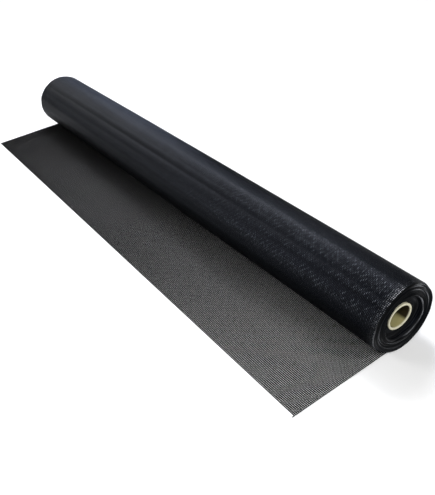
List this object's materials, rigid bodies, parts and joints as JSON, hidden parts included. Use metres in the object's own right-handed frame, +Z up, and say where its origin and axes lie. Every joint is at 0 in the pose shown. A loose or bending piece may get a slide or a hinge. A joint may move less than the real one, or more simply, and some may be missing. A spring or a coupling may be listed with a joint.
{
  "type": "roll of insect screen mesh on a cardboard tube",
  "caption": "Roll of black woven insect screen mesh on a cardboard tube, lying flat, with its loose end pulled out from under the roll.",
  "frame": {"origin": "on the floor, in the middle of the whole's footprint", "axes": "+X along the roll towards the end with the uneven turns, -Y towards the cut edge of the loose end, +Z up"},
  "size_m": [0.6554, 0.1482, 0.068],
  "materials": {
    "tube": "matt",
    "screen": "satin"
  },
  "bodies": {
    "root": {"core_tube": "tube", "wound_roll": "screen", "loose_end": "screen"}
  },
  "joints": []
}
